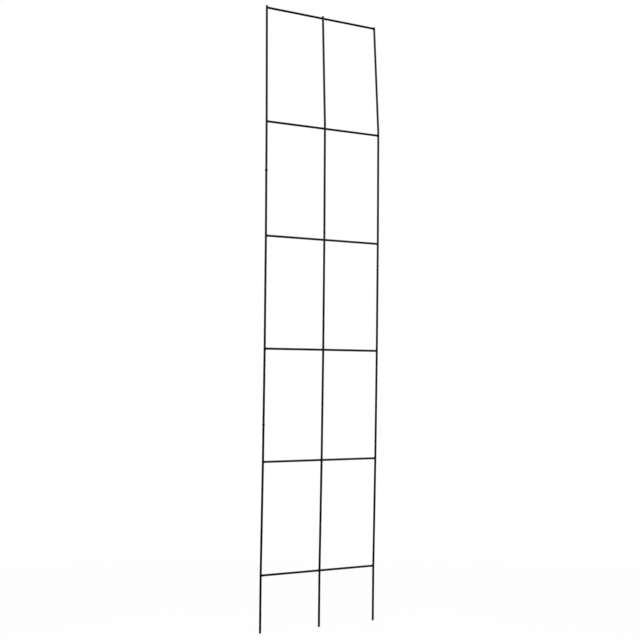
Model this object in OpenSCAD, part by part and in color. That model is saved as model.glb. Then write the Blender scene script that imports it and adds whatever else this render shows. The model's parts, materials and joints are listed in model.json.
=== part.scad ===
// Espalier frame: a flat garden trellis of welded round steel rod, pushed into the soil on three legs.
// Two outer uprights and six rails lie in one plane, each rail saddle-cut and welded between the uprights.
// The middle upright crosses in front of the rails, pressed a little into each and spot-welded there.
// X runs along the rails, the front faces -Y, and Z = 0 is the ground line on the middle leg's axis.

/* [Rod] */
// Diameter of the round rod that every upright and rail is cut from
rod_d = 6.5; // [4:0.5:10]

/* [Grid] */
// Distance between the centre lines of the two outer uprights
frame_w = 450; // [250:10:900]
// Length of each leg below the ground line
leg_l = 150; // [80:5:300]
// Height of the bottom rail above the ground line
bottom_rail_h = 15; // [12:1:80]
// Rise from each rail to the next in the three lower bays
lower_bay = 325; // [120:5:450]
// Rise from each rail to the next in the two upper bays
upper_bay = 330; // [120:5:450]
// Stand of the left upright's end above the top rail
left_stub = 3.5; // [1:0.5:40]
// Stand of the middle upright's end above the top rail
middle_stub = 3; // [1:0.5:40]
// Stand of the right upright's end above the top rail
right_stub = 1; // [1:0.5:40]

/* [Bends] */
// How far the uprights bow to the front at half height
upright_bow = 7; // [0:0.5:20]
// Turn of the top rail to the back, about the left upright, in degrees
top_turn = 2.3; // [0:0.1:6]

/* [Welds] */
// Depth that the middle upright and a rail are pressed into each other
set_down = 2.5; // [0.5:0.1:3]
// Depth of the saddle cut into each end of a rail, where it fits round an outer upright
saddle_depth = 1.8; // [0.5:0.1:2.2]
// How far a weld bead stands proud of the rod
weld_proud = 1.1; // [0.5:0.1:1.8]

/* [Butt joins of the left upright] */
// Height of the lower butt join above the ground line
lower_join_h = 447; // [360:1:640]
// Height of the upper butt join above the ground line
upper_join_h = 1179; // [1010:1:1300]
// How far the lower join's bead stands proud of the rod
lower_bead_proud = 0.7; // [0.3:0.1:2]
// How far the upper join's bead stands proud of the rod
upper_bead_proud = 1; // [0.3:0.1:2]
// Length of the lower join's bead along the rod
lower_bead_l = 7; // [4:0.5:12]
// Length of the upper join's bead along the rod
upper_bead_l = 8; // [4:0.5:12]

/* [Hidden] */
$fn = 64;
// Sides of a whole circle where only a short arc of it is used
arc_fn = 360;
coat_colour = [0.10, 0.10, 0.10];
bead_colour = [0.13, 0.13, 0.13];

// Columns run from left to right, and rails from the bottom up
LEFT = 0;
MIDDLE = 1;
RIGHT = 2;
COLUMNS = ["left", "middle", "right"];
RAILS = ["bottom", "fifth", "fourth", "third", "second", "top"];
TOP = len(RAILS) - 1;
LENGTHS = ["lower", "centre", "upper"];
JOINS = ["lower", "upper"];
lower_bays = 3;
upper_bays = 2;

rod_r = rod_d / 2;
// The rails and outer uprights lie this far behind the middle upright
rail_plane_y = rod_d - set_down;
column_x = [-frame_w / 2, 0, frame_w / 2];
column_y = [rail_plane_y, 0, rail_plane_y];
stubs = [left_stub, middle_stub, right_stub];
upper_start_h = bottom_rail_h + lower_bays * lower_bay;
rail_h = [
    bottom_rail_h,
    for (bay = [1 : lower_bays]) bottom_rail_h + bay * lower_bay,
    for (bay = [1 : upper_bays]) upper_start_h + bay * upper_bay
];
top_h = rail_h[TOP];
weld_r = rod_r + weld_proud;
seam_turn = 45;
// One overrun serves every cut
overrun = 2 * rod_d;

// Each upright is plumb to just below the bottom rail, and bends there and just above each rail but the top one
bend_rise = 2 * weld_r;
leg_top_h = bottom_rail_h - bend_rise;
bend_h = [leg_top_h, for (rail = [1 : TOP - 1]) rail_h[rail] + bend_rise, top_h];
// The rod swells by a hair at a bend, in a ball that joins the straight stretches on both sides
swell_share = 0.01;
bend_r = rod_r + swell_share * rod_d;
bend_gap = sqrt(pow(bend_r, 2) - pow(rod_r, 2)) / 2;
function rise_share(h) = (h - leg_top_h) / (top_h - leg_top_h);
function bow_y(h) = -4 * upright_bow * rise_share(h) * (1 - rise_share(h));
function turn_y(column) = (column_x[column] - column_x[LEFT]) * tan(top_turn);
function bend_y(column, h) = bow_y(h) + (h == top_h ? turn_y(column) : 0);
function path(column) = [for (h = bend_h) [h, bend_y(column, h)]];
function axis_point(column, h) = [column_x[column], column_y[column] + lookup(h, path(column)), h];

// Straight stretches of an upright, from the leg up: the lean of each to the front, and its length
function steps(column) = [
    for (i = [1 : len(bend_h) - 1])
        [bend_y(column, bend_h[i]) - bend_y(column, bend_h[i - 1]), bend_h[i] - bend_h[i - 1]]
];
function leans(column) = [0, for (step = steps(column)) -atan2(step[0], step[1])];
function stretches(column) = [leg_l + leg_top_h, for (step = steps(column)) norm(step)];
function lean_at(column, h) = leans(column)[len([for (bend = bend_h) if (bend <= h) bend])];

// A rail's end lies this far from the upright's centre line
rail_end = rod_r - saddle_depth;
function rail_turn(rail) = rail == TOP ? top_turn : 0;
function rail_span(rail) = frame_w / cos(rail_turn(rail));

function rail_node(rail) = str(RAILS[rail], "_rail");
function length_node(length) = str("left_upright_", LENGTHS[length]);
function weld_node(rail, column) = str("weld_", RAILS[rail], "_", COLUMNS[column]);
function join_node(join) = str(JOINS[join], "_butt_weld");

// One straight stretch of a bent rod and all above it, drawn from the bend below it with +Z along the stretch
module rod_from(i, lean, stretch, stub) {
    last = len(stretch) - 1;
    foot = i == 0 ? 0 : bend_gap;
    head = i == last ? stretch[i] + rod_r + stub : stretch[i] - bend_gap;
    translate([0, 0, foot]) cylinder(r = rod_r, h = head - foot);
    if (i < last)
        translate([0, 0, stretch[i]]) {
            sphere(r = bend_r);
            rotate([lean[i + 1] - lean[i], 0, 0]) rod_from(i + 1, lean, stretch, stub);
        }
}

// A whole upright, from its leg tip to its end above the top rail
module upright(column) {
    translate([column_x[column], column_y[column], -leg_l])
        rod_from(0, leans(column), stretches(column), stubs[column]);
}

// Moves to where a rail's centre line meets the left upright's, with X along the rail
module along_rail(rail) {
    translate(axis_point(LEFT, rail_h[rail])) rotate([0, 0, rail_turn(rail)]) children();
}

// A rail's plain bar, reaching round both outer uprights by the saddle's depth
module rail_bar(rail) {
    along_rail(rail)
        translate([rail_end, 0, 0]) rotate([0, 90, 0]) cylinder(r = rod_r, h = rail_span(rail) - 2 * rail_end);
}

// A rail, with shallow saddles where the outer uprights meet its ends and the middle one crosses its front
module rail(rail) {
    color(coat_colour) difference() {
        rail_bar(rail);
        for (column = [LEFT : RIGHT]) upright(column);
    }
}

// The middle and right uprights are single rods
module whole_upright(column) {
    color(coat_colour) upright(column);
}

// The left upright is three lengths of rod, butt-welded end to end
module left_length(length) {
    cuts = [-leg_l - overrun, lower_join_h, upper_join_h, top_h + left_stub + overrun];
    room = 2 * (upright_bow + overrun);
    color(coat_colour) intersection() {
        upright(LEFT);
        translate([column_x[LEFT] - room / 2, column_y[LEFT] - room / 2, cuts[length]])
            cube([room, room, cuts[length + 1] - cuts[length]]);
    }
}

// Collar of weld round a rail's end, with the rail along +Z and the upright's centre line at the origin.
// Its closing seam is turned to a diagonal, clear of the saddle that the upright leaves in it.
module end_collar() {
    rotate([0, 0, seam_turn]) rotate_extrude() {
        translate([rod_r, rail_end]) square([weld_proud, saddle_depth]);
        intersection() {
            translate([0, rod_r]) circle(r = weld_r, $fn = arc_fn);
            translate([rod_r, rod_r]) square([weld_proud, weld_r]);
        }
    }
}

// Weld of a rail's end to an outer upright
module end_weld(rail, column) {
    color(bead_colour) difference() {
        along_rail(rail)
            if (column == LEFT)
                rotate([0, 90, 0]) end_collar();
            else
                translate([rail_span(rail), 0, 0]) rotate([0, -90, 0]) end_collar();
        upright(column);
    }
}

// Metal squeezed out round the spot weld where the middle upright crosses a rail
module spot_weld(rail) {
    color(bead_colour) difference() {
        translate(axis_point(MIDDLE, rail_h[rail]) + [0, rail_plane_y / 2, 0]) sphere(r = weld_r);
        upright(MIDDLE);
        rail_bar(rail);
    }
}

module weld(rail, column) {
    if (column == MIDDLE)
        spot_weld(rail);
    else
        end_weld(rail, column);
}

// Barrel-shaped bead round a butt join of the left upright
module join_bead(h, proud, bead_l) {
    arc_r = (pow(bead_l / 2, 2) + pow(proud, 2)) / (2 * proud);
    color(bead_colour)
        translate(axis_point(LEFT, h)) rotate([lean_at(LEFT, h), 0, 0])
            rotate_extrude() intersection() {
                translate([rod_r + proud - arc_r, 0]) circle(r = arc_r, $fn = arc_fn);
                translate([rod_r, -bead_l / 2]) square([proud, bead_l]);
            }
}

module butt_weld(join) {
    if (JOINS[join] == "lower")
        join_bead(lower_join_h, lower_bead_proud, lower_bead_l);
    else
        join_bead(upper_join_h, upper_bead_proud, upper_bead_l);
}

for (length = [0 : len(LENGTHS) - 1])
    left_length(length);
whole_upright(MIDDLE);  // middle_upright
whole_upright(RIGHT);  // right_upright
for (rail = [0 : TOP])
    rail(rail);
for (rail = [0 : TOP], column = [LEFT : RIGHT])
    weld(rail, column);
for (join = [0 : len(JOINS) - 1])
    butt_weld(join);
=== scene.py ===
import json
import math

import bpy
from mathutils import Matrix, Vector


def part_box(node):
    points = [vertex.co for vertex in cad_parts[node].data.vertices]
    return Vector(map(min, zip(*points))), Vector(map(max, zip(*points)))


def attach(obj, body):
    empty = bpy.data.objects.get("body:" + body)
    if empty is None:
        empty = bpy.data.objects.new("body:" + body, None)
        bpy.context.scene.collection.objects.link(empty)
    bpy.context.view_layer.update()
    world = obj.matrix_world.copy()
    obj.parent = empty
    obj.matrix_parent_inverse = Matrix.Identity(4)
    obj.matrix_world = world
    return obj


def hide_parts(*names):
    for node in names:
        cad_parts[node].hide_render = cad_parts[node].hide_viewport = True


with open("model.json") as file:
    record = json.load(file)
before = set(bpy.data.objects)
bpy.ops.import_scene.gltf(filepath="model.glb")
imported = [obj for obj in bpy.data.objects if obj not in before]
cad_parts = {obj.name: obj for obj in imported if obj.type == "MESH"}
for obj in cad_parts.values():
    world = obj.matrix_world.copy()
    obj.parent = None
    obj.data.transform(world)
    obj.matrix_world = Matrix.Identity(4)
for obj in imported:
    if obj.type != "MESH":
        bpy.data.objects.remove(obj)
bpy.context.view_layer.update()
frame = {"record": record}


# Uprights: round steel rod, cropped to length and welded into the frame before the black coat goes on.
# The left one is three lengths butted end to end, and the middle and right ones are single rods.
# Welding has drawn them a little to the front, with slight bends, and has twisted the top bay.
def middle_of(node):
    """The middle of a CAD node's box."""
    low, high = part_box(node)
    return (low + high) / 2


legs = {mount["name"].removesuffix("_leg"): mount for mount in frame["record"]["mounts"]}
leg_place = {column: Vector(leg["pos_m"]) for column, leg in legs.items()}
rod_radius = legs["middle"]["dims"]["r_mm"] / 1000
leg_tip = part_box("middle_upright")[0].z
rails = ("bottom", "fifth", "fourth", "third", "second", "top")
rail_height = {rail: middle_of(rail + "_rail").z for rail in rails}
join_height = {join: middle_of(join + "_butt_weld").z for join in ("lower", "upper")}
# Each upright bends this far below the bottom rail, and this far above the four rails over it
bend_above_rail = 0.0087
leg_top = rail_height["bottom"] - bend_above_rail
# Depth of the bow at half height, and the slope that the top rail is turned back by
forward_bow = 0.007
top_twist = math.tan(math.radians(2.3))
# How far each upright stands above the top rail
stub = {"left": 0.0035, "middle": 0.003, "right": 0.001}
rod_top = {column: rail_height["top"] + rod_radius + stub[column] for column in stub}


def bends(column):
    """Height and depth of each bend of an upright, from the leg tip to the twisted top rail."""
    plumb = leg_place[column].y
    top = rail_height["top"]
    found = [(leg_tip, plumb)]
    for height in [leg_top, *(rail_height[rail] + bend_above_rail for rail in rails[1:-1])]:
        share = (height - leg_top) / (top - leg_top)
        found.append((height, plumb - 4 * forward_bow * share * (1 - share)))
    twist = (leg_place[column].x - leg_place["left"].x) * top_twist
    return [*found, (top, plumb + twist)]


def upright_point(column, height):
    """The point of an upright's centre line at a height; its end above the top rail goes on in line."""
    path = bends(column)
    stretches = list(zip(path, path[1:]))
    (low, low_y), (high, high_y) = next((s for s in stretches if height <= s[1][0]), stretches[-1])
    depth = low_y + (high_y - low_y) * (height - low) / (high - low)
    return Vector((leg_place[column].x, depth, height))


# Close stations at a rod's ends give its rounded edge, and the others follow its bends
end_stations = (0.0, 0.00008, 0.0002, 0.0004, 0.002, 0.005)
station_spacing = 0.01


def stations(length):
    """Distances along a rod to draw it at: close together at its ends, and evenly spaced between."""
    count = round(length / station_spacing)
    between = [length * step / count for step in range(1, count)]
    return [*end_stations, *between, *(length - step for step in reversed(end_stations))]


def painted_light_at(height):
    """How much light is painted on an upright's coat at a height, lighter upwards as if lit from above: 0 at
    the leg tip, and 1 at the top rail.
    """
    return min(1.0, (height - leg_tip) / (rail_height["top"] - leg_tip))


def add(tree, kind, inputs=None, **settings):
    """Adds a node to a tree, sets its options, and gives each named input a value or a link."""
    made = tree.nodes.new(kind)
    for name, value in settings.items():
        setattr(made, name, value)
    for name, value in (inputs or {}).items():
        if isinstance(value, bpy.types.NodeSocket):
            tree.links.new(value, made.inputs[name])
        else:
            made.inputs[name].default_value = value
    return made


def calc(tree, operation, *values, clamp=False):
    """A Math node's result."""
    inputs = dict(enumerate(values))
    return add(tree, "ShaderNodeMath", inputs, operation=operation, use_clamp=clamp).outputs[0]


def spread(tree, value, low, high, to_low=0.0, to_high=1.0):
    """A Map Range node's result: low to high becomes to_low to to_high, and stays within them."""
    inputs = {"Value": value, "From Min": low, "From Max": high, "To Min": to_low, "To Max": to_high}
    return add(tree, "ShaderNodeMapRange", inputs).outputs[0]


def new_tree(name, sizes):
    """An empty geometry tree, with its inputs: a path, these sizes, a count of sides and a material."""
    tree = bpy.data.node_groups.new(name, "GeometryNodeTree")
    tree.interface.new_socket("Path", in_out="INPUT", socket_type="NodeSocketGeometry")
    for size in sizes:
        tree.interface.new_socket(size, in_out="INPUT", socket_type="NodeSocketFloat")
    tree.interface.new_socket("Sides", in_out="INPUT", socket_type="NodeSocketInt")
    tree.interface.new_socket("Material", in_out="INPUT", socket_type="NodeSocketMaterial")
    tree.interface.new_socket("Piece", in_out="OUTPUT", socket_type="NodeSocketGeometry")
    return tree, tree.nodes.new("NodeGroupInput").outputs


def mark(tree, geometry, name, value):
    """Stores a value on each point under a name that the material reads."""
    inputs = {"Geometry": geometry, "Name": name, "Value": value}
    store = add(tree, "GeometryNodeStoreNamedAttribute", inputs, data_type="FLOAT", domain="POINT")
    return store.outputs[0]


def unevenness(tree, geometry, size, height, seed):
    """Pushes a surface in and out by a noise of that lump size and height."""
    inputs = {"Scale": calc(tree, "DIVIDE", 1.0, size), "W": seed, "Detail": 2.0}
    noise = add(tree, "ShaderNodeTexNoise", inputs, noise_dimensions="4D").outputs["Fac"]
    lift = calc(tree, "MULTIPLY", calc(tree, "SUBTRACT", noise, 0.5), height)
    normal = tree.nodes.new("GeometryNodeInputNormal").outputs["Normal"]
    offset = add(tree, "ShaderNodeVectorMath", {0: normal, "Scale": lift}, operation="SCALE").outputs[0]
    return add(tree, "GeometryNodeSetPosition", {"Geometry": geometry, "Offset": offset}).outputs[0]


hard_edge = math.radians(50)


def close_tree(tree, mesh, material):
    """Ends a tree: shades it smooth but for hard edges, realises it and gives it its material."""
    angle = tree.nodes.new("GeometryNodeInputMeshEdgeAngle").outputs["Unsigned Angle"]
    hard = calc(tree, "GREATER_THAN", angle, hard_edge)
    smooth = add(tree, "GeometryNodeSetShadeSmooth", {"Geometry": mesh}).outputs[0]
    creases = {"Geometry": smooth, "Selection": hard, "Shade Smooth": False}
    creased = add(tree, "GeometryNodeSetShadeSmooth", creases, domain="EDGE").outputs[0]
    real = add(tree, "GeometryNodeRealizeInstances", {"Geometry": creased}).outputs[0]
    done = add(tree, "GeometryNodeSetMaterial", {"Geometry": real, "Material": material}).outputs[0]
    tree.links.new(done, tree.nodes.new("NodeGroupOutput").inputs[0])
    return tree


def drawn_rod():
    """Tree that sweeps a round rod along a path, rounds its ends off, marks where its coat is worn, and marks
    the share of light painted on its coat.
    """
    tree, given = new_tree("drawn_rod", ("Rod radius", "End length", "End depth", "Scuff length",
                                         "Start light share", "End light share", "Lump size", "Lump height", "Seed"))
    path = add(tree, "GeometryNodeMeshToCurve", {"Mesh": given["Path"]}).outputs[0]
    spot = tree.nodes.new("GeometryNodeSplineParameter").outputs
    whole = tree.nodes.new("GeometryNodeSplineLength").outputs["Length"]
    to_end = calc(tree, "MINIMUM", spot["Length"], calc(tree, "SUBTRACT", whole, spot["Length"]))
    inside = calc(tree, "SUBTRACT", 1.0, calc(tree, "DIVIDE", to_end, given["End length"]), clamp=True)
    arc = calc(tree, "SQRT", calc(tree, "SUBTRACT", 1.0, calc(tree, "MULTIPLY", inside, inside)))
    drop = calc(tree, "MULTIPLY", given["End depth"], calc(tree, "SUBTRACT", 1.0, arc))
    scuff = spread(tree, to_end, 0.0, given["Scuff length"], to_low=1.0, to_high=0.0)
    # The share of painted light runs from its start value to its end value along the rod
    fade = spread(tree, spot["Factor"], 0.0, 1.0, given["Start light share"], given["End light share"])
    marked = mark(tree, mark(tree, path, "scuff", scuff), "fade", fade)
    round_bar = add(tree, "GeometryNodeCurvePrimitiveCircle", {"Resolution": given["Sides"], "Radius": 1.0})
    swept = add(tree, "GeometryNodeCurveToMesh",
                {"Curve": marked, "Profile Curve": round_bar.outputs[0], "Fill Caps": True,
                 "Scale": calc(tree, "SUBTRACT", given["Rod radius"], drop)}).outputs[0]
    uneven = unevenness(tree, swept, given["Lump size"], given["Lump height"], given["Seed"])
    return close_tree(tree, uneven, given["Material"])


def grow(name, points, tree, values, closed=False):
    """Runs a tree along a path of points and keeps the result as a plain mesh that sits at the origin."""
    edges = [(i, i + 1) for i in range(len(points) - 1)]
    if closed:
        edges.append((len(points) - 1, 0))
    path = bpy.data.meshes.new(name + "_path")
    path.from_pydata(points, edges, [])
    carrier = bpy.data.objects.new(name + "_path", path)
    bpy.context.scene.collection.objects.link(carrier)
    sockets = {item.name: item.identifier for item in tree.interface.items_tree if item.in_out == "INPUT"}
    modifier = carrier.modifiers.new("grow", "NODES")
    modifier.node_group = tree
    for size, value in values.items():
        modifier[sockets[size]] = value
    depsgraph = bpy.context.evaluated_depsgraph_get()
    grown = carrier.evaluated_get(depsgraph)
    mesh = bpy.data.meshes.new_from_object(grown, preserve_all_data_layers=True, depsgraph=depsgraph)
    carrier.modifiers.remove(modifier)
    bpy.data.objects.remove(carrier)
    mesh.name = name
    piece = bpy.data.objects.new(name, mesh)
    bpy.context.scene.collection.objects.link(piece)
    return piece


def fit(piece, node):
    """Puts a piece in place of its CAD node, on the one rigid body."""
    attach(piece, "root")
    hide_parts(node)


def blend(tree, share, first, second):
    """A colour between two."""
    return add(tree, "ShaderNodeMix", {0: share, 6: first, 7: second}, data_type="RGBA").outputs[2]


# Dust, which also paints what faces up lighter as if lit from above, hides this share of the coat where it
# lies thickest
dust_and_light_cover = 0.5
# The coat is bare, with a soft edge, where a noise and the scuffing near an end pass the limit
wear_limit = 0.85
wear_edge = 0.08
scuff_wear = 0.35
# A bare place lies lower than the coat, by this share of the peel's height
bare_depth = 0.6
# Roughness of the coat across its peel, and what the dark coat of painted shade and random tone, dust and
# bare metal add to it
smoothest = 0.36
roughest = 0.60
dark_coat_roughness = 0.4
dust_roughness = 0.15
bare_roughness = 0.12


def black_coat():
    """Shader group for the coat: painted light and shade mixed with random tone, dust that also paints what
    faces up lighter, thin places that show metal, and peel.
    """
    group = bpy.data.node_groups.new("black_coat", "ShaderNodeTree")
    for name in ("Fresh black", "Faded black", "Dull metal", "Dust"):
        group.interface.new_socket(name, in_out="INPUT", socket_type="NodeSocketColor")
    for name in ("Peel size", "Thin share", "Scuff", "Fade", "Upward"):
        group.interface.new_socket(name, in_out="INPUT", socket_type="NodeSocketFloat")
    group.interface.new_socket("Colour", in_out="OUTPUT", socket_type="NodeSocketColor")
    for name in ("Roughness", "Height"):
        group.interface.new_socket(name, in_out="OUTPUT", socket_type="NodeSocketFloat")
    given = group.nodes.new("NodeGroupInput").outputs
    place = group.nodes.new("ShaderNodeTexCoord").outputs["Object"]

    def noise(per_metre, detail, roughness=0.5):
        """A noise over the piece, with about this many lumps to a metre."""
        inputs = {"Vector": place, "Scale": per_metre, "Detail": detail, "Roughness": roughness}
        return add(group, "ShaderNodeTexNoise", inputs).outputs["Fac"]

    # Colour: the coat runs from the shaded black to the lit black by the share of painted light on each
    # piece, moved by random drift and mottle in tone
    drift = spread(group, noise(per_metre=9.0, detail=3.0), low=0.3, high=0.7, to_low=-0.2, to_high=0.2)
    mottle = spread(group, noise(per_metre=140.0, detail=6.0), low=0.3, high=0.7, to_low=-0.3, to_high=0.3)
    light_and_tone = calc(group, "ADD", given["Fade"], calc(group, "ADD", drift, mottle), clamp=True)
    base = blend(group, light_and_tone, given["Fresh black"], given["Faded black"])

    # Dust on what faces up, which also stands for painted light from above: the tops come out lighter
    powder = spread(group, noise(per_metre=160.0, detail=4.0), low=0.35, high=0.7)
    dust_and_light_mask = calc(group, "MULTIPLY", spread(group, given["Upward"], low=0.2, high=0.9), powder)
    dust_and_top_lit = blend(group, calc(group, "MULTIPLY", dust_and_light_mask, dust_and_light_cover), base, given["Dust"])

    patches = noise(per_metre=420.0, detail=5.0, roughness=0.6)
    worn = calc(group, "ADD", patches, calc(group, "MULTIPLY", given["Scuff"], scuff_wear))
    limit = calc(group, "SUBTRACT", wear_limit, given["Thin share"])
    bare = spread(group, worn, low=limit, high=calc(group, "ADD", limit, wear_edge))
    colour = blend(group, bare, dust_and_top_lit, given["Dull metal"])

    peel = noise(per_metre=calc(group, "DIVIDE", 1.0, given["Peel size"]), detail=2.0)
    faded = spread(group, peel, low=0.0, high=1.0, to_low=smoothest, to_high=roughest)
    # Where the coat is dark from painted shade or random tone, it is made more matt
    shade_and_dark_tone = calc(group, "SUBTRACT", 1.0, light_and_tone)
    clean = calc(group, "ADD", faded, calc(group, "MULTIPLY", shade_and_dark_tone, dark_coat_roughness))
    matt = calc(group, "ADD", clean, calc(group, "MULTIPLY", dust_and_light_mask, dust_roughness))
    dull = calc(group, "ADD", matt, calc(group, "MULTIPLY", bare, bare_roughness), clamp=True)
    height = calc(group, "SUBTRACT", peel, calc(group, "MULTIPLY", bare, bare_depth))
    add(group, "NodeGroupOutput", {"Colour": colour, "Roughness": dull, "Height": height})
    return group


coat_gloss = 0.05
relief_strength = 0.6


def coated(name, group, relief, **values):
    """A coated steel material with its own tones, peel and wear."""
    material = bpy.data.materials.new(name)
    material.use_nodes = True
    tree = material.node_tree
    shader = tree.nodes["Principled BSDF"]
    normal = tree.nodes.new("ShaderNodeNewGeometry").outputs["Normal"]
    inputs = {socket.replace("_", " ").capitalize(): value for socket, value in values.items()}
    inputs["Scuff"] = add(tree, "ShaderNodeAttribute", attribute_name="scuff").outputs["Fac"]
    inputs["Fade"] = add(tree, "ShaderNodeAttribute", attribute_name="fade").outputs["Fac"]
    inputs["Upward"] = add(tree, "ShaderNodeSeparateXYZ", {"Vector": normal}).outputs["Z"]
    coat = add(tree, "ShaderNodeGroup", inputs, node_tree=group).outputs
    bump_inputs = {"Height": coat["Height"], "Strength": relief_strength, "Distance": relief}
    bump = add(tree, "ShaderNodeBump", bump_inputs)
    tree.links.new(coat["Colour"], shader.inputs["Base Color"])
    tree.links.new(coat["Roughness"], shader.inputs["Roughness"])
    tree.links.new(bump.outputs["Normal"], shader.inputs["Normal"])
    shader.inputs["Specular IOR Level"].default_value = coat_gloss
    return material


coat_group = black_coat()
# The two blacks are the ends of the coat's painted shade and painted light, and random tone mixes them too
rod_finish = coated("coated_rod", coat_group, relief=0.00003, peel_size=0.0006, thin_share=0.08,
                    fresh_black=(0.003, 0.003, 0.0029, 1), faded_black=(0.0235, 0.0205, 0.0168, 1),
                    dull_metal=(0.070, 0.058, 0.047, 1), dust=(0.075, 0.068, 0.058, 1))
rod_tree = drawn_rod()
rod_values = {"Rod radius": rod_radius, "End length": 0.0004, "End depth": 0.0004, "Scuff length": 0.02,
              "Lump size": 0.03, "Lump height": 0.00008, "Sides": 28, "Material": rod_finish}
upright_lengths = {
    "left_upright_lower": ("left", leg_tip, join_height["lower"]),
    "left_upright_centre": ("left", join_height["lower"], join_height["upper"]),
    "left_upright_upper": ("left", join_height["upper"], rod_top["left"]),
    "middle_upright": ("middle", leg_tip, rod_top["middle"]),
    "right_upright": ("right", leg_tip, rod_top["right"]),
}
# Painted light on the uprights: their coat is lighter towards the top rail and darker towards the leg tips
for seed, (node, (column, start, end)) in enumerate(upright_lengths.items()):
    line = [upright_point(column, start + step) for step in stations(end - start)]
    values = {**rod_values, "Start light share": painted_light_at(start), "End light share": painted_light_at(end), "Seed": float(seed)}
    fit(grow(node + "_rod", line, rod_tree, values), node)


# Butt welds of the left upright: where two lengths of rod meet end to end, a bead of weld runs round them.
# It stands a little proud of the rod, uneven and barrel-shaped, under the same black coat.
# The weld's two blacks are the ends of its painted shade and painted light, and random tone mixes them too
weld_finish = coated("coated_weld", coat_group, relief=0.00008, peel_size=0.0009, thin_share=0.05,
                     fresh_black=(0.003, 0.003, 0.0029, 1), faded_black=(0.0200, 0.0175, 0.0143, 1),
                     dull_metal=(0.060, 0.048, 0.038, 1), dust=(0.070, 0.063, 0.053, 1))
join_proud = {"lower": 0.0007, "upper": 0.001}
join_length = {"lower": 0.007, "upper": 0.008}
# The bead's edges run this far into the rod
edge_sink = 0.0002
half_steps = 12
no_scuff = 0.0001
first_join_seed = 20.0
for seed, join in enumerate(join_height):
    half = join_length[join] / 2
    turns = [math.pi / 2 * step / half_steps for step in range(-half_steps, half_steps + 1)]
    line = [upright_point("left", join_height[join] + half * math.sin(turn)) for turn in turns]
    # The bead gets the painted light of the upright at its height
    fade = painted_light_at(join_height[join])
    values = {"Rod radius": rod_radius + join_proud[join], "End length": half,
              "End depth": join_proud[join] + edge_sink, "Scuff length": no_scuff,
              "Start light share": fade, "End light share": fade, "Lump size": 0.003, "Lump height": 0.0009,
              "Seed": first_join_seed + seed, "Sides": 40, "Material": weld_finish}
    fit(grow(join + "_butt_bead", line, rod_tree, values), join + "_butt_weld")


# Rails: six lengths of the same rod, saddle-cut to fit round the outer uprights and welded to them.
# They run behind the middle upright, which is pressed a little into each one.
rail_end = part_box("bottom_rail")[0].x - leg_place["left"].x
# Light and shade painted on each rail's coat, as a share from dark to light: the top rail darkest, as painted
# shade, and the lower rails lighter, as painted light from above
rail_painted_light = {"bottom": 0.4, "fifth": 0.8, "fourth": 0.4, "third": 0.5, "second": 0.12, "top": 0.0}
first_rail_seed = 40.0


def rail_frame(rail):
    """A rail's centre line: where it meets the left upright's, its direction, and its length to the right."""
    start = upright_point("left", rail_height[rail])
    across = upright_point("right", rail_height[rail]) - start
    return start, across.normalized(), across.length


for seed, rail in enumerate(rails):
    start, along, length = rail_frame(rail)
    line = [start + along * (rail_end + step) for step in stations(length - 2 * rail_end)]
    # Each rail carries its painted light and shade along its whole length
    values = {**rod_values, "Scuff length": no_scuff, "Start light share": rail_painted_light[rail],
              "End light share": rail_painted_light[rail], "Seed": first_rail_seed + seed}
    fit(grow(rail + "_rail_rod", line, rod_tree, values), rail + "_rail")


# End welds: a short bead of weld laid round each end of a rail, where it butts against an outer upright.
# The bead is rippled from the torch's steps and never quite even, and the coat runs over it.
bead_radius = 0.0011
# Radius of the seam round a rail, and its distance from the upright's centre line
bead_ring = 0.0033
bead_on_side = 0.0019
bead_on_crown = 0.0034
bead_points = 120
seam_steps = 48
seam_angles = [2 * math.pi * step / seam_steps for step in range(seam_steps)]
first_end_seed = 60.0


def weld_bead():
    """Tree that lays a rippled, uneven bead along a closed seam."""
    tree, given = new_tree("weld_bead", ("Bead radius", "Ripples", "Ripple depth", "Fade", "Lump size",
                                         "Lump height", "Seed"))
    seam = add(tree, "GeometryNodeMeshToCurve", {"Mesh": given["Path"]}).outputs[0]
    even_seam = add(tree, "GeometryNodeResampleCurve", {"Curve": seam, "Count": bead_points}).outputs[0]
    # The bead carries one share of painted light all round
    marked = mark(tree, even_seam, "fade", given["Fade"])
    share = tree.nodes.new("GeometryNodeSplineParameter").outputs["Factor"]
    step = calc(tree, "FRACT", calc(tree, "MULTIPLY", share, given["Ripples"]))
    ripple = calc(tree, "MULTIPLY", given["Ripple depth"], calc(tree, "MULTIPLY", step, step))
    bead = add(tree, "GeometryNodeCurvePrimitiveCircle", {"Resolution": given["Sides"], "Radius": 1.0})
    swept = add(tree, "GeometryNodeCurveToMesh",
                {"Curve": marked, "Profile Curve": bead.outputs[0],
                 "Scale": calc(tree, "SUBTRACT", given["Bead radius"], ripple)}).outputs[0]
    uneven = unevenness(tree, swept, given["Lump size"], given["Lump height"], given["Seed"])
    return close_tree(tree, uneven, given["Material"])


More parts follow.
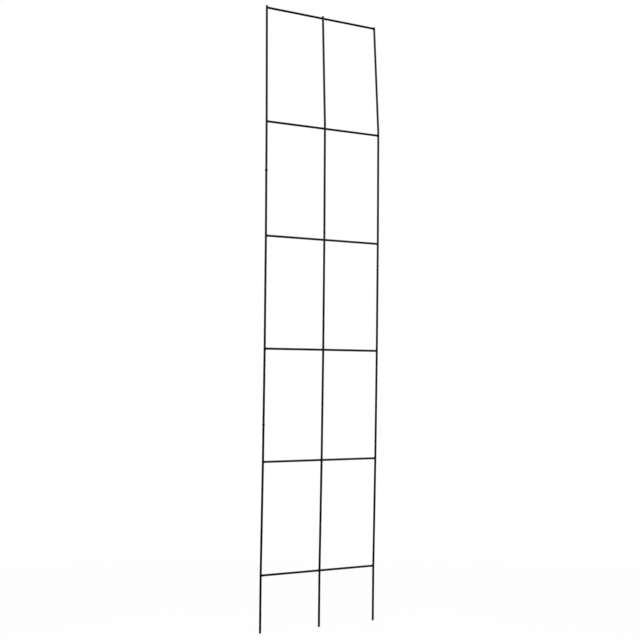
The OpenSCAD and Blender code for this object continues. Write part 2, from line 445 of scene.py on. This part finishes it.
bead_tree = weld_bead()
end_bead = {"Bead radius": bead_radius, "Ripples": 11.0, "Ripple depth": 0.00025, "Lump size": 0.0018,
            "Lump height": 0.0008, "Sides": 16, "Material": weld_finish}
for seed, rail in enumerate(rails):
    start, along, length = rail_frame(rail)
    back = Vector((-along.y, along.x, 0.0))
    for side, corner, inward in (("left", start, along), ("right", start + along * length, -along)):
        seam = []
        for angle in seam_angles:
            reach = bead_on_side + (bead_on_crown - bead_on_side) * math.sin(angle) ** 2
            ring = back * math.cos(angle) + Vector((0, 0, math.sin(angle)))
            seam.append(corner + inward * reach + ring * bead_ring)
        side_seed = first_end_seed + 2 * seed + (side == "right")
        # Each end bead gets its rail's painted light and shade
        values = {**end_bead, "Fade": rail_painted_light[rail], "Seed": side_seed}
        bead = grow(f"{rail}_{side}_bead", seam, bead_tree, values, closed=True)
        fit(bead, f"weld_{rail}_{side}")


# Spot welds: the middle upright is squeezed hot into the front of each rail, and the metal that comes out
# lies as a thin soft ring in the corners between the two rods.
rail_plane = leg_place["left"].y
flash = {**end_bead, "Bead radius": 0.001, "Ripples": 5.0, "Ripple depth": 0.0001, "Lump height": 0.0005}
just_below = 0.001
first_spot_seed = 90.0


def half_chord(offset):
    """Half the width of the rod's round section, at this distance from its middle."""
    return math.sqrt(max(0.0, rod_radius ** 2 - offset ** 2))


for seed, rail in enumerate(rails):
    crossing = upright_point("middle", rail_height[rail])
    along = rail_frame(rail)[1]
    up = (crossing - upright_point("middle", rail_height[rail] - just_below)).normalized()
    inward = up.cross(along)
    seam = []
    for angle in seam_angles:
        depth = rail_plane / 2 - (rod_radius - rail_plane / 2) * math.cos(2 * angle)
        wide = math.copysign(half_chord(depth), math.cos(angle))
        high = math.copysign(half_chord(rail_plane - depth), math.sin(angle))
        seam.append(crossing + along * wide + up * high + inward * depth)
    # Each ring gets its rail's painted light and shade
    values = {**flash, "Fade": rail_painted_light[rail], "Seed": first_spot_seed + seed}
    ring = grow(rail + "_middle_flash", seam, bead_tree, values, closed=True)
    fit(ring, f"weld_{rail}_middle")


# Stage: a plain pale floor at the leg tips, two soft lamps high in front and behind, and a white surround.
# The camera and reflections see the surround as white, and the floor keeps the frame's faint shadow.
white = (1, 1, 1, 1)
surround_light = 0.5
floor_half = 12.0
floor_colour = (0.9, 0.9, 0.9, 1)
floor_roughness = 0.9
# The camera sees the floor partly white near the frame, and wholly white further off
white_near = 0.8
near = 0.5
far = 2.5
lamp_aim = Vector((0, 0, 0.75))
softboxes = {
    "front_softbox": {"place": Vector((-1.2, -1.6, 2.9)), "size": 1.6, "power": 60.0},
    "back_softbox": {"place": Vector((1.0, 1.4, 2.7)), "size": 1.4, "power": 30.0},
}


def white_when_seen(tree):
    """1 for a ray from the camera, a reflection or a refraction, and 0 for light."""
    ray = tree.nodes.new("ShaderNodeLightPath").outputs
    seen = calc(tree, "MAXIMUM", ray["Is Camera Ray"], ray["Is Glossy Ray"])
    return calc(tree, "MAXIMUM", seen, ray["Is Transmission Ray"])


world = bpy.data.worlds.new("studio")
world.use_nodes = True
bpy.context.scene.world = world
surround = world.node_tree
soft = surround.nodes["Background"]
soft.inputs["Color"].default_value = white
soft.inputs["Strength"].default_value = surround_light
bright = add(surround, "ShaderNodeBackground", {"Color": white, "Strength": 1.0})
surround_mix = add(surround, "ShaderNodeMixShader",
                   {0: white_when_seen(surround), 1: soft.outputs[0], 2: bright.outputs[0]})
surround.links.new(surround_mix.outputs[0], surround.nodes["World Output"].inputs["Surface"])

floor_mesh = bpy.data.meshes.new("floor")
floor_corners = [(x * floor_half, y * floor_half, leg_tip) for x, y in ((-1, -1), (1, -1), (1, 1), (-1, 1))]
floor_mesh.from_pydata(floor_corners, [], [(0, 1, 2, 3)])
floor = bpy.data.objects.new("floor", floor_mesh)
bpy.context.scene.collection.objects.link(floor)
floor_finish = bpy.data.materials.new("pale_floor")
floor_finish.use_nodes = True
floor_tree = floor_finish.node_tree
matt = floor_tree.nodes["Principled BSDF"]
matt.inputs["Base Color"].default_value = floor_colour
matt.inputs["Roughness"].default_value = floor_roughness
glow = add(floor_tree, "ShaderNodeEmission", {"Color": white, "Strength": 1.0})
floor_spot = floor_tree.nodes.new("ShaderNodeTexCoord").outputs["Object"]
from_middle = add(floor_tree, "ShaderNodeVectorMath", {0: floor_spot}, operation="LENGTH").outputs["Value"]
whiter_outward = spread(floor_tree, from_middle, near, far, to_low=white_near, to_high=1.0)
whiten = calc(floor_tree, "MULTIPLY", white_when_seen(floor_tree), whiter_outward)
floor_mix = add(floor_tree, "ShaderNodeMixShader", {0: whiten, 1: matt.outputs[0], 2: glow.outputs[0]})
floor_tree.links.new(floor_mix.outputs[0], floor_tree.nodes["Material Output"].inputs["Surface"])
floor_mesh.materials.append(floor_finish)

for name, softbox in softboxes.items():
    lamp = bpy.data.lights.new(name, "AREA")
    lamp.size = softbox["size"]
    lamp.energy = softbox["power"]
    holder = bpy.data.objects.new(name, lamp)
    holder.location = softbox["place"]
    holder.rotation_mode = "QUATERNION"
    holder.rotation_quaternion = (lamp_aim - softbox["place"]).to_track_quat("-Z", "Y")
    holder.visible_camera = False
    bpy.context.scene.collection.objects.link(holder)


# Camera: low, in front and to the left, five and a half metres off, so that the left side stands nearer.
# It looks up by a degree and a half and is rolled by half a degree.
aim = Vector((-0.00424, 0.004, 0.7529))
distance = 5.472
turn = math.radians(-42.592)
rise = math.radians(-1.5762)
roll = math.radians(0.58)
camera_data = bpy.data.cameras.new("camera")
camera_data.lens = 104.17
camera_data.sensor_width = 36.0
camera = bpy.data.objects.new("camera", camera_data)
level = Matrix.Rotation(turn, 4, "Z") @ Matrix.Rotation(math.pi / 2 - rise, 4, "X")
facing = level @ Matrix.Rotation(roll, 4, "Z")
camera.matrix_world = Matrix.Translation(aim + facing.col[2].to_3d() * distance) @ facing
bpy.context.scene.collection.objects.link(camera)
bpy.context.scene.camera = camera
bpy.context.scene.view_settings.view_transform = "Standard"
